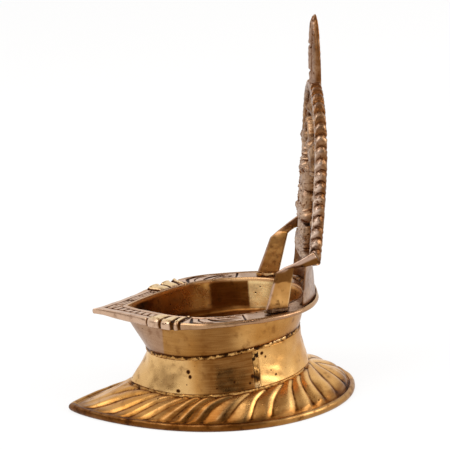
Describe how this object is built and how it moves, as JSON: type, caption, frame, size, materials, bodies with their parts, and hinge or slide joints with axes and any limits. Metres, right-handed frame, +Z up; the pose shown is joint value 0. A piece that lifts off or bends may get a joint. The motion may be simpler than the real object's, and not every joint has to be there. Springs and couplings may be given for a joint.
{
  "type": "oil lamp",
  "caption": "Brass ritual oil lamp: leaf-shaped bowl on a flared neck and fluted foot, with a tall relief back plate held by two strip arms.",
  "frame": {"origin": "middle of the bounding box at the level that the foot rests on", "axes": "+Z up, -X towards the spout's tip, +X towards the back plate, +Y to the side away from the neck's seam"},
  "size_m": [0.1184, 0.0804, 0.155],
  "materials": {
    "polished_brass": "hand-polished cast brass with dark patina in its recesses",
    "aged_brass": "aged brown cast and sheet brass, worn bright on its edges",
    "braze_filler": "dark, rough brazing metal"
  },
  "bodies": {
    "root": {"foot_skirt": "polished_brass", "neck_band": "polished_brass", "oil_bowl": "polished_brass", "rear_tongue": "aged_brass", "back_plate": "aged_brass", "near_arm": "aged_brass", "far_arm": "aged_brass", "foot_neck_braze": "braze_filler", "neck_seam_braze": "braze_filler", "neck_bowl_braze": "braze_filler", "tongue_rim_braze": "braze_filler", "plate_tongue_braze": "braze_filler", "near_arm_foot_braze": "braze_filler", "far_arm_foot_braze": "braze_filler", "near_arm_top_braze": "braze_filler", "far_arm_top_braze": "braze_filler"}
  },
  "joints": []
}
